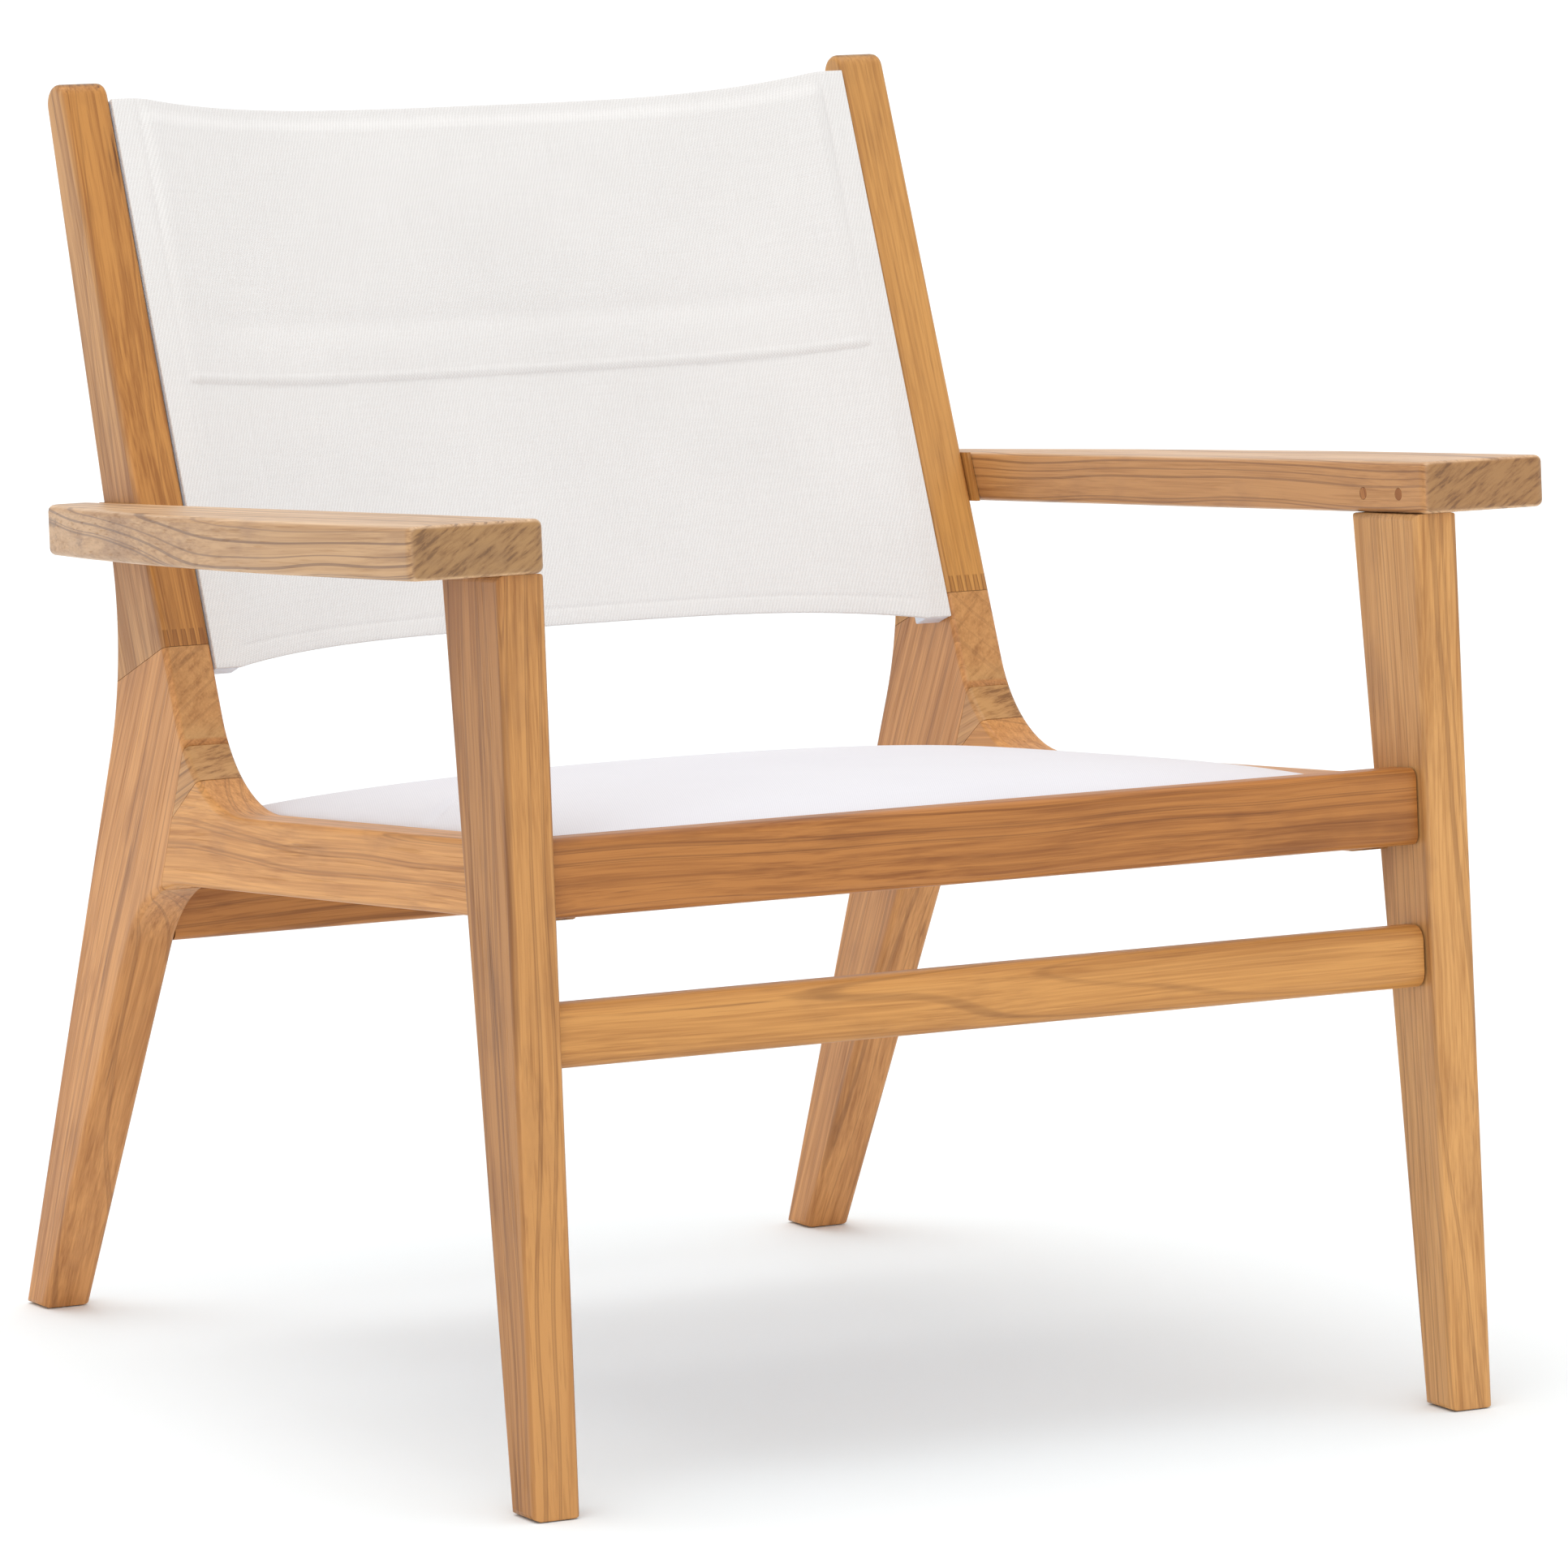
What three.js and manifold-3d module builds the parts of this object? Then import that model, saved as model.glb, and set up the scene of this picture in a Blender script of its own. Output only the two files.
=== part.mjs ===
// Lounge armchair: teak frame, stretched sling back, padded sling seat.
// Millimetres, +Z up, origin on the floor under the middle of the chair. The chair faces -Y.
import * as THREE from 'three';
import { mergeVertices } from 'three/addons/utils/BufferGeometryUtils.js';
import Module from 'manifold-3d';

const wasm = await Module();
wasm.setup();

// Overall
const WIDTH = 742;
const DEPTH = 713;
const GAP = 0.3;
const EDGE = 4;
const EDGE_STEPS = 4;
const BACK_OFFSET = DEPTH / 2;

// Side frames: rear leg, knee block, back post and side rail lie in one plate
const FRAME_INNER = 253;
const FRAME_OUTER = 284.4;
const POST_TOP = 748.8;
const POST_RAKE = 0.4104;
const POST_REAR_RAKE = 0.3107;
const POST_FRONT_AT_480 = 536.8;
const POST_REAR_AT_0 = 438.8;
const LEG_FRONT_RAKE = 0.5;
const LEG_REAR_RAKE = 0.347;
const LEG_REAR_FOOT = 713;
const LEG_FRONT_FOOT = 687;
const RAIL_SLOPE = 0.084;
const RAIL_TOP_AT_198 = 354.5;
const RAIL_HEIGHT = 43.5;

// Front legs, arms and cross rails
const LEG_INNER = 284.7;
const LEG_OUTER = 314;
const LEG_SPLAY = 2.5;
const LEG_LEAN = 0.0827;
const LEG_REAR_LEAN = 0.1613;
const LEG_FOOT_DEPTH = 28.5;
const ARM_INNER = 287.5;
const ARM_FRONT = 35.6;
const ARM_FRONT_Z = 519.5;
const ARM_SLOPE = 0.081;
const ARM_THICK = 30;
const ARM_LENGTH = 571;
const ARM_BEND_START = 86;
const ARM_TAPER = 0.000231;
const PLUG_RADIUS = 3.5;
const PLUG_DEPTH = 6;

// Soft parts and the tracks that hold them
const TRACK_WIDTH = 17;
const TRACK_DEPTH = 13;
const SLING_LOW = 412;
const SLING_HIGH = 740;
const SLING_HOLLOW = 26;
const SLING_THICK = 4;
const SEAT_FRONT = 70;
const SEAT_REAR = 497;
const SEAT_CROWN = 26;

const group = new THREE.Group();
group.name = 'lounge_armchair';

const TEAK = new THREE.MeshStandardMaterial({ color: 0xb06a36, roughness: 0.5, metalness: 0 });
const FABRIC = new THREE.MeshStandardMaterial({ color: 0xe9e8ee, roughness: 0.9, metalness: 0 });
const TRACK = new THREE.MeshStandardMaterial({ color: 0xdfe3ea, roughness: 0.4, metalness: 0 });

// Adds one named part to the group with a material of its own.
function addPart(name, geometry, material) {
  const mesh = new THREE.Mesh(geometry, material.clone());
  mesh.name = name;
  group.add(mesh);
  return mesh;
}

// Adds a right-hand part and its mirror image on the left.
function addPair(name, geometry, material) {
  addPart(`${name}_right`, geometry, material);
  addPart(`${name}_left`, mirrored(geometry), material);
}

// Mirrors a closed geometry across X = 0 and keeps its faces outward.
function mirrored(geometry) {
  const copy = geometry.index ? geometry.toNonIndexed() : geometry.clone();
  copy.scale(-1, 1, 1);
  const position = copy.getAttribute('position');
  for (let i = 0; i < position.count; i += 3) {
    const [x, y, z] = [position.getX(i), position.getY(i), position.getZ(i)];
    position.setXYZ(i, position.getX(i + 1), position.getY(i + 1), position.getZ(i + 1));
    position.setXYZ(i + 1, x, y, z);
  }
  copy.computeVertexNormals();
  return copy;
}

function toSolid(geometry) {
  const bare = geometry.clone();
  bare.deleteAttribute('normal');
  bare.deleteAttribute('uv');
  const merged = mergeVertices(bare, 0.0005);
  return new wasm.Manifold(new wasm.Mesh({
    numProp: 3,
    vertProperties: new Float32Array(merged.getAttribute('position').array),
    triVerts: new Uint32Array(merged.index.array),
  }));
}

function toGeometry(solid) {
  const mesh = solid.getMesh();
  const geometry = new THREE.BufferGeometry();
  geometry.setAttribute('position', new THREE.BufferAttribute(new Float32Array(mesh.vertProperties), 3));
  geometry.setIndex(new THREE.BufferAttribute(new Uint32Array(mesh.triVerts), 1));
  geometry.computeVertexNormals();
  return geometry;
}

// Extrudes a side view drawn in (y, z) along X, with its long edges rounded by edge.
function sidePlate(shape, x0, x1, edge, curveSteps = 6) {
  const geometry = new THREE.ExtrudeGeometry(shape, {
    depth: x1 - x0 - 2 * edge,
    bevelEnabled: edge > 0,
    bevelThickness: edge,
    bevelSize: edge,
    bevelOffset: -edge,
    bevelSegments: EDGE_STEPS,
    curveSegments: curveSteps,
  });
  const toChair = new THREE.Matrix4().set(
    0, 0, 1, x0 + edge,
    1, 0, 0, -BACK_OFFSET,
    0, 1, 0, 0,
    0, 0, 0, 1,
  );
  return geometry.applyMatrix4(toChair);
}

// Draws a closed outline whose corners are [y, z, radius]; a radius of 0 leaves the corner sharp.
function roundedOutline(corners) {
  const shape = new THREE.Shape();
  const count = corners.length;
  corners.forEach(([y, z, radius], i) => {
    const corner = new THREE.Vector2(y, z);
    const before = new THREE.Vector2(...corners[(i + count - 1) % count]).sub(corner).normalize();
    const after = new THREE.Vector2(...corners[(i + 1) % count]).sub(corner).normalize();
    const half = Math.acos(THREE.MathUtils.clamp(before.dot(after), -1, 1)) / 2;
    const reach = radius / Math.tan(half);
    const start = corner.clone().addScaledVector(before, reach);
    if (i === 0) {
      shape.moveTo(start.x, start.y);
    } else {
      shape.lineTo(start.x, start.y);
    }
    if (radius > 0) {
      const end = corner.clone().addScaledVector(after, reach);
      const inward = before.clone().add(after).normalize();
      const centre = corner.clone().addScaledVector(inward, radius / Math.sin(half));
      const from = Math.atan2(start.y - centre.y, start.x - centre.x);
      const to = Math.atan2(end.y - centre.y, end.x - centre.x);
      const turn = before.x * after.y - before.y * after.x;
      shape.absarc(centre.x, centre.y, radius, from, to, turn > 0);
    }
  });
  shape.closePath();
  return shape;
}

const postFront = (z) => POST_FRONT_AT_480 + POST_RAKE * (z - 480);
const postRear = (z) => POST_REAR_AT_0 + POST_REAR_RAKE * z;
const legFront = (z) => LEG_FRONT_FOOT - LEG_FRONT_RAKE * z;
const legRear = (z) => LEG_REAR_FOOT - LEG_REAR_RAKE * z;
const railTop = (y) => RAIL_TOP_AT_198 - RAIL_SLOPE * (y - 198);
const railBottom = (y) => railTop(y) - RAIL_HEIGHT;
const railFront = (z) => 65.8 + LEG_LEAN * (z - 348.65);

// Where two side-view lines y = a(z) and y = b(z), both straight, cross.
function crossing(a, b) {
  const slopeA = a(1) - a(0);
  const slopeB = b(1) - b(0);
  const z = (b(0) - a(0)) / (slopeA - slopeB);
  return [a(z), z];
}

// Inverts a rail edge z = f(y) into y = g(z).
const edgeAsY = (f) => (z) => (z - f(0)) / (f(1) - f(0));

// The whole side frame as one plate, before the joints are cut.
function sideFrame() {
  const [kneeY, kneeZ] = crossing(postFront, edgeAsY(railTop));
  const [underY, underZ] = crossing(legFront, edgeAsY(railBottom));
  const [bendY, bendZ] = crossing(postRear, legRear);
  const [frontTopY, frontTopZ] = crossing(railFront, edgeAsY(railTop));
  const [frontLowY, frontLowZ] = crossing(railFront, edgeAsY(railBottom));
  return sidePlate(roundedOutline([
    [frontLowY, frontLowZ, 0],
    [underY, underZ, 85],
    [legFront(0), 0, 0],
    [legRear(0), 0, 0],
    [bendY, bendZ, 200],
    [postRear(POST_TOP), POST_TOP, 12],
    [postFront(POST_TOP), POST_TOP, 10],
    [kneeY, kneeZ, 80],
    [frontTopY, frontTopZ, 0],
  ]), FRAME_INNER, FRAME_OUTER, EDGE, 8);
}

// A thin saw cut through the side frame, from one (y, z) point to another.
function sawCut([y0, z0], [y1, z1]) {
  const length = Math.hypot(y1 - y0, z1 - z0);
  const blade = new THREE.BoxGeometry(60, length, GAP);
  blade.rotateX(Math.atan2(z1 - z0, y1 - y0));
  blade.translate((FRAME_INNER + FRAME_OUTER) / 2, (y0 + y1) / 2 - BACK_OFFSET, (z0 + z1) / 2);
  return toSolid(blade);
}

// Keeps the stretch of the side frame inside one (y, z) region.
function frameRegion(frame, corners) {
  const shape = new THREE.Shape(corners.map(([y, z]) => new THREE.Vector2(y, z)));
  return toGeometry(frame.intersect(toSolid(sidePlate(shape, FRAME_INNER - 10, FRAME_OUTER + 10, 0))));
}

// Cuts the side frame at its glue joints into back post, rear leg, knee block and side rail.
function buildSideFrames() {
  const postJointFront = [495, 434.7];
  const postJointRear = [600, 388.2];
  const railJointTop = [485, 382.5];
  const railJointLow = [527, 266];
  const blockJointFront = [455, 365];
  const blockJointRear = [505.6, 325.5];
  let frame = toSolid(sideFrame());
  frame = frame.subtract(sawCut(postJointFront, postJointRear));
  frame = frame.subtract(sawCut(railJointTop, railJointLow));
  frame = frame.subtract(sawCut(blockJointFront, blockJointRear));
  addPair('back_post', frameRegion(frame, [
    postJointFront, postJointRear, [720, 460], [720, 800], [495, 800],
  ]), TEAK);
  addPair('rear_leg', frameRegion(frame, [
    railJointLow, [560, -10], [760, -10], postJointRear, postJointFront, railJointTop,
  ]), TEAK);
  addPair('knee_block', frameRegion(frame, [blockJointFront, blockJointRear, railJointTop]), TEAK);
  addPair('side_rail', frameRegion(frame, [
    [40, 250], railJointLow, blockJointRear, blockJointFront, [40, 420],
  ]), TEAK);
}

// Front leg: leans back, tapers towards the floor and spreads a little outwards at the foot.
function buildFrontLegs() {
  const armUnder = (y) => ARM_FRONT_Z - ARM_SLOPE * (y - ARM_FRONT) - GAP;
  const front = (z) => LEG_LEAN * z;
  const rear = (z) => LEG_FOOT_DEPTH + LEG_REAR_LEAN * z;
  const [topFrontY, topFrontZ] = crossing(front, edgeAsY(armUnder));
  const [topRearY, topRearZ] = crossing(rear, edgeAsY(armUnder));
  const shape = roundedOutline([
    [0, 0, 0],
    [LEG_FOOT_DEPTH, 0, 0],
    [topRearY, topRearZ, 0],
    [topFrontY, topFrontZ, 0],
  ]);
  const geometry = sidePlate(shape, LEG_INNER, LEG_OUTER, EDGE);
  const lean = LEG_SPLAY / topFrontZ;
  geometry.applyMatrix4(new THREE.Matrix4().set(
    1, 0, -lean, LEG_SPLAY,
    0, 1, 0, 0,
    0, 0, 1, 0,
    0, 0, 0, 1,
  ));
  addPair('front_leg', geometry, TEAK);
}

// Moves a geometry built flat (y along the arm, z through it) onto the sloping arm plane.
function placeOnArm(geometry) {
  geometry.rotateX(-Math.atan(ARM_SLOPE));
  geometry.translate(0, ARM_FRONT - BACK_OFFSET, ARM_FRONT_Z);
  return geometry;
}

// The arm's plan: straight inside, and outside a parallel front that sweeps in towards the rear.
function armPlan() {
  const outer = WIDTH / 2;
  const corner = 7;
  const tailInner = 7;
  const tailCorner = 11;
  const outerAt = (y) => outer - ARM_TAPER * Math.max(0, y - ARM_BEND_START) ** 2;
  const tailEnd = ARM_LENGTH - tailCorner;
  const shape = new THREE.Shape();
  shape.moveTo(ARM_INNER + corner, 0);
  shape.lineTo(outer - corner, 0);
  shape.quadraticCurveTo(outer, 0, outer, corner);
  const steps = 12;
  for (let i = 0; i <= steps; i += 1) {
    const y = ARM_BEND_START + (tailEnd - ARM_BEND_START) * (i / steps);
    shape.lineTo(outerAt(y), y);
  }
  const tail = outerAt(ARM_LENGTH);
  shape.quadraticCurveTo(tail, ARM_LENGTH, tail - tailCorner, ARM_LENGTH);
  shape.lineTo(ARM_INNER + tailInner, ARM_LENGTH);
  shape.quadraticCurveTo(ARM_INNER, ARM_LENGTH, ARM_INNER, ARM_LENGTH - tailInner);
  shape.lineTo(ARM_INNER, corner);
  shape.quadraticCurveTo(ARM_INNER, 0, ARM_INNER + corner, 0);
  return shape;
}

// A round bar along X, centred on the arm's inner face at (y, z) of the flat arm.
function armBore(radius, depth, y) {
  const bore = new THREE.CylinderGeometry(radius, radius, depth, 20);
  bore.rotateZ(Math.PI / 2);
  bore.translate(ARM_INNER + depth / 2, y, 11);
  return bore;
}

// Arms, with a pocket and a wood plug over each screw into the leg.
function buildArms() {
  const edge = 4;
  const board = new THREE.ExtrudeGeometry(armPlan(), {
    depth: ARM_THICK - 2 * edge,
    bevelEnabled: true,
    bevelThickness: edge,
    bevelSize: edge,
    bevelOffset: -edge,
    bevelSegments: 4,
    curveSegments: 6,
  });
  board.translate(0, 0, edge);
  let arm = toSolid(board);
  const plugs = { front: 28.5, rear: 65.5 };
  for (const y of Object.values(plugs)) {
    const pocket = armBore(PLUG_RADIUS + 0.2, PLUG_DEPTH * 2, y);
    pocket.translate(-PLUG_DEPTH, 0, 0);
    arm = arm.subtract(toSolid(pocket));
  }
  addPair('arm', placeOnArm(toGeometry(arm)), TEAK);
  for (const [name, y] of Object.entries(plugs)) {
    addPair(`arm_plug_${name}`, placeOnArm(armBore(PLUG_RADIUS, PLUG_DEPTH - GAP, y)), TEAK);
  }
}

// Thin wood packer between each back post and the arm beside it.
function buildArmSpacers() {
  const under = (y) => ARM_FRONT_Z - ARM_SLOPE * (y - ARM_FRONT);
  const over = (y) => under(y) + ARM_THICK;
  const front = (z) => postFront(z) - 5;
  const rear = (z) => postRear(z) - 2;
  const shape = new THREE.Shape([
    crossing(front, edgeAsY(under)),
    crossing(rear, edgeAsY(under)),
    crossing(rear, edgeAsY(over)),
    crossing(front, edgeAsY(over)),
  ].map(([y, z]) => new THREE.Vector2(y, z)));
  addPair('arm_spacer', sidePlate(shape, FRAME_OUTER + GAP, ARM_INNER - GAP, 0), TEAK);
}

// A cross rail: a rounded bar along X whose section leans back by lean (y per z).
function crossRail(name, halfLength, centreY, centreZ, thick, height, radius, lean) {
  const section = roundedOutline([
    [-thick / 2, -height / 2, radius],
    [thick / 2, -height / 2, radius],
    [thick / 2, height / 2, radius],
    [-thick / 2, height / 2, radius],
  ]);
  const geometry = sidePlate(section, -halfLength, halfLength, 0, 5);
  geometry.translate(0, BACK_OFFSET, 0);
  geometry.rotateX(-Math.atan(lean));
  geometry.translate(0, centreY - BACK_OFFSET, centreZ);
  addPart(name, geometry, TEAK);
}

function buildCrossRails() {
  crossRail('front_rail', LEG_INNER - GAP, 51.4, 348.65, 27.6, 44.5, 6, LEG_LEAN);
  crossRail('front_stretcher', LEG_INNER - GAP, 42, 262.25, 26, 36, 9, LEG_LEAN);
  crossRail('rear_rail', FRAME_INNER - GAP, 580, 263.5, 28, 45, 6, 0);
}

// Back sling: a thin hollow sheet, with a square track along each back post.
function buildBack() {
  const angle = Math.atan(POST_RAKE);
  const length = (SLING_HIGH - SLING_LOW) / Math.cos(angle);
  const place = (geometry) => {
    geometry.rotateX(-angle);
    geometry.translate(0, postFront(SLING_LOW) - BACK_OFFSET, SLING_LOW);
    return geometry;
  };
  const track = new THREE.BoxGeometry(TRACK_WIDTH, TRACK_DEPTH, length);
  track.translate(FRAME_INNER - GAP - TRACK_WIDTH / 2, TRACK_DEPTH / 2 + 2, length / 2);
  addPair('back_track', place(track), TRACK);
  const half = FRAME_INNER - 2 * GAP - TRACK_WIDTH;
  const steps = 16;
  const dip = (x) => SLING_HOLLOW * (1 - (x / half) ** 2) + 4;
  const outline = [];
  for (let i = 0; i <= steps; i += 1) {
    const x = -half + (2 * half * i) / steps;
    outline.push(new THREE.Vector2(x, dip(x)));
  }
  for (let i = steps; i >= 0; i -= 1) {
    const x = -half + (2 * half * i) / steps;
    outline.push(new THREE.Vector2(x, dip(x) + SLING_THICK));
  }
  const sheet = new THREE.ExtrudeGeometry(new THREE.Shape(outline), { depth: length, bevelEnabled: false });
  addPart('back_sling', place(sheet), FABRIC);
}

// Seat pad: a crowned closed cushion over the side rails, hung on a track inside each rail.
function buildSeat() {
  const half = FRAME_INNER - GAP;
  const length = SEAT_REAR - SEAT_FRONT;
  const across = 24;
  const along = 20;
  const under = -14;
  const pad = new THREE.BoxGeometry(2 * half, length, 1, across, along, 1);
  const position = pad.getAttribute('position');
  for (let i = 0; i < position.count; i += 1) {
    const u = position.getX(i) / half;
    const v = position.getY(i) / (length / 2);
    const crown = SEAT_CROWN * Math.sqrt((1 - u ** 6) * (1 - v ** 4));
    const y = SEAT_FRONT + length / 2 + position.getY(i);
    const lift = position.getZ(i) > 0 ? crown - 2 : under;
    position.setXYZ(i, position.getX(i), y - BACK_OFFSET, railTop(y) + lift);
  }
  pad.computeVertexNormals();
  addPart('seat_pad', pad, FABRIC);
  const track = new THREE.BoxGeometry(TRACK_WIDTH, length - 8, TRACK_DEPTH);
  track.rotateX(-Math.atan(RAIL_SLOPE));
  const middle = (SEAT_FRONT + SEAT_REAR) / 2;
  track.translate(FRAME_INNER - GAP - TRACK_WIDTH / 2, middle - BACK_OFFSET, railTop(middle) + under - 9);
  addPair('seat_track', track, TRACK);
}

buildSideFrames();
buildFrontLegs();
buildArms();
buildArmSpacers();
buildCrossRails();
buildBack();
buildSeat();

export default group;
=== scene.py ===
"""Teak lounge armchair with a stretched sling back and a padded sling seat.

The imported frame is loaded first. Each timber, sling, pad and track is then modelled and
dressed around it, and the studio, the lights and the camera are set up.
"""

import logging
import math
from dataclasses import dataclass, field
from enum import Enum

import bpy
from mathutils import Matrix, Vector


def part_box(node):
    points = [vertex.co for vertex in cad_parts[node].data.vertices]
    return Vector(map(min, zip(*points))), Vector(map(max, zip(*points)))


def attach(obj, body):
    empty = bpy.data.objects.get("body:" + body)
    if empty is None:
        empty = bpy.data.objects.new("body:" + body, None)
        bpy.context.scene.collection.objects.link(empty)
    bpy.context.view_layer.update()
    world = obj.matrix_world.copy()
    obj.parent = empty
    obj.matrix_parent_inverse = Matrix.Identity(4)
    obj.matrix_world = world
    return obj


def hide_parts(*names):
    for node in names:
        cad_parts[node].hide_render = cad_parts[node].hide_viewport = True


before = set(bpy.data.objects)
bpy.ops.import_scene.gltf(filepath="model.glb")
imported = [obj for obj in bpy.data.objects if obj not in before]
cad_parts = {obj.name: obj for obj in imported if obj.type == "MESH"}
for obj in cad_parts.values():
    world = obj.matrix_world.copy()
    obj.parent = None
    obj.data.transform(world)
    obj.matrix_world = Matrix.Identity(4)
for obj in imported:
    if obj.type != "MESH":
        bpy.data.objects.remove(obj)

LOG = logging.getLogger("armchair")
BODY = "root"
WELD = 0.00002  # metres between vertices that are one
FLAT = 0.6  # degrees between triangles that are one face
ON_FLOOR = 0.0004  # metres above the floor that still count as on it

Node = bpy.types.Node
Piece = bpy.types.Object
Socket = bpy.types.NodeSocket
Triple = tuple[float, float, float]


class Side(Enum):
    """The two sides of the chair, by the sign of X."""

    LEFT = -1
    RIGHT = 1

    @property
    def tag(self) -> str:
        """The side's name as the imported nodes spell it."""
        return self.name.lower()


class Grain(Enum):
    """The direction the grain runs in each kind of timber, in the chair's frame."""

    CROSS_RAIL = (1.0, 0.0, 0.0)
    FRONT_LEG = (0.0, 0.12, 1.0)
    ARM = (0.0, 1.0, -0.081)
    SIDE_RAIL = (0.0, 1.0, -0.084)
    REAR_LEG = (0.0, -0.42, 1.0)
    POST = (0.0, 0.37, 1.0)
    KNEE = (0.0, 1.0, -0.45)

    @property
    def direction(self) -> Vector:
        """The grain as a unit vector."""
        return Vector(self.value).normalized()


# ---- node trees


@dataclass
class Graph:
    """Adds, sets and links nodes in one node tree."""

    tree: bpy.types.NodeTree

    def add(self, kind: str, **settings: object) -> Node:
        """Adds a node.

        Args:
            kind: the node's type name, without "ShaderNode".
            settings: the node's own properties.

        Returns:
            The new node.
        """
        node = self.tree.nodes.new("ShaderNode" + kind)
        for name, value in settings.items():
            setattr(node, name, value)
        return node

    def add_group(self, group: bpy.types.NodeTree, values: dict[str, object]) -> Node:
        """Places a node group and sets its inputs.

        Args:
            group: the group.
            values: each input's name with its socket or value.

        Returns:
            The group's node.
        """
        node = self.tree.nodes.new("ShaderNodeGroup")
        node.node_tree = group
        for title, value in values.items():
            self.feed(node.inputs[title], value)
        return node

    def feed(self, socket: Socket, value: object) -> None:
        """Links a socket into another, or sets its value.

        Args:
            socket: the input to feed.
            value: an output socket, or a plain value.
        """
        if isinstance(value, Socket):
            self.tree.links.new(value, socket)
        else:
            socket.default_value = value

    def math(self, operation: str, *values: object, clamp: bool = False) -> Socket:
        """Does one sum.

        Args:
            operation: the Math node's operation.
            values: its inputs, as sockets or numbers.
            clamp: whether the result stays between 0 and 1.

        Returns:
            The result's socket.
        """
        node = self.add("Math", operation=operation, use_clamp=clamp)
        for socket, value in zip(node.inputs, values):
            self.feed(socket, value)
        return node.outputs[0]

    def vector(self, operation: str, first: object, second: object) -> Socket:
        """Does one sum on two vectors.

        Args:
            operation: the Vector Math node's operation.
            first: a vector's socket.
            second: a socket or three numbers.

        Returns:
            The resulting vector's socket.
        """
        node = self.add("VectorMath", operation=operation)
        self.feed(node.inputs[0], first)
        self.feed(node.inputs[1], second)
        return node.outputs[0]

    def split(self, vector: object) -> list[Socket]:
        """A vector's three parts."""
        node = self.add("SeparateXYZ")
        self.feed(node.inputs[0], vector)
        return list(node.outputs)

    def vary(self, value: object, weight: object, base: object, clamp: bool = False) -> Socket:
        """Adds a value that swings round 0.5 to another, as a swing round nothing.

        Args:
            value: the value that swings.
            weight: how much of it is added.
            base: what it is added to.
            clamp: whether the result stays between 0 and 1.

        Returns:
            The sum's socket.
        """
        swing = self.math("SUBTRACT", value, 0.5)
        return self.math("MULTIPLY_ADD", swing, weight, base, clamp=clamp)

    def noise(self, vector: object, scale: Triple, detail: float, rough: float,
              output: str = "Fac") -> Socket:
        """Reads smooth noise.

        Args:
            vector: the vector's socket, in metres.
            scale: how many of the noise's swells there are to a metre, along each axis.
            detail: the noise's octaves.
            rough: how strong the finer octaves are.
            output: the noise node's output to read.

        Returns:
            The noise, about 0 to 1.
        """
        node = self.add("TexNoise")
        node.inputs["Scale"].default_value = 1.0
        node.inputs["Detail"].default_value = detail
        node.inputs["Roughness"].default_value = rough
        self.feed(node.inputs["Vector"], self.vector("MULTIPLY", vector, scale))
        return node.outputs[output]

    def noise_line(self, place: object, detail: float = 2.0) -> Socket:
        """Reads smooth noise along one number.

        Args:
            place: the number's socket.
            detail: the noise's octaves.

        Returns:
            The noise, about 0 to 1.
        """
        node = self.add("TexNoise", noise_dimensions="1D")
        node.inputs["Scale"].default_value = 1.0
        node.inputs["Detail"].default_value = detail
        self.feed(node.inputs["W"], place)
        return node.outputs["Fac"]

    def turned(self, vector: object, angles: Triple,
               shift: Triple = (0.0, 0.0, 0.0)) -> Socket:
        """Turns and then moves a vector.

        Args:
            vector: the vector's socket.
            angles: the turns about the axes, in radians.
            shift: the move, in metres.

        Returns:
            The turned vector's socket.
        """
        node = self.add("Mapping", vector_type="POINT")
        node.inputs["Rotation"].default_value = angles
        node.inputs["Location"].default_value = shift
        self.feed(node.inputs["Vector"], vector)
        return node.outputs[0]

    def span(self, value: object, low: float, high: float,
             out_low: float = 0.0, out_high: float = 1.0) -> Socket:
        """Maps a range of a value smoothly onto another, and holds it at its ends.

        Args:
            value: the value's socket.
            low: where the range starts.
            high: where the range ends.
            out_low: what the start becomes.
            out_high: what the end becomes.

        Returns:
            The mapped value's socket.
        """
        node = self.add("MapRange", interpolation_type="SMOOTHSTEP")
        self.feed(node.inputs["Value"], value)
        for name, number in (("From Min", low), ("From Max", high),
                             ("To Min", out_low), ("To Max", out_high)):
            node.inputs[name].default_value = number
        return node.outputs["Result"]

    def blend(self, share: object, first: object, second: object,
              mode: str = "MIX") -> Socket:
        """Mixes two colours.

        Args:
            share: how much of the second colour.
            first: the first colour.
            second: the second colour.
            mode: how they mix.

        Returns:
            The mixed colour's socket.
        """
        node = self.add("Mix", data_type="RGBA", blend_type=mode)
        self.feed(node.inputs[0], share)
        self.feed(node.inputs[6], first)
        self.feed(node.inputs[7], second)
        return node.outputs[2]

    def dress(self, surface: Node, effect: Node, strength: float,
              distance: float, colour: object = None) -> None:
        """Feeds a Principled surface from an effect's group.

        Args:
            surface: the material's Principled node.
            effect: a group with the outputs Color, Roughness and Height.
            strength: how much of the relief shows.
            distance: the relief's depth, in metres.
            colour: a colour in place of the group's own.
        """
        bump = self.add("Bump")
        bump.inputs["Strength"].default_value = strength
        bump.inputs["Distance"].default_value = distance
        self.feed(bump.inputs["Height"], effect.outputs["Height"])
        self.feed(surface.inputs["Base Color"], colour or effect.outputs["Color"])
        self.feed(surface.inputs["Roughness"], effect.outputs["Roughness"])
        self.feed(surface.inputs["Normal"], bump.outputs[0])


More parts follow.
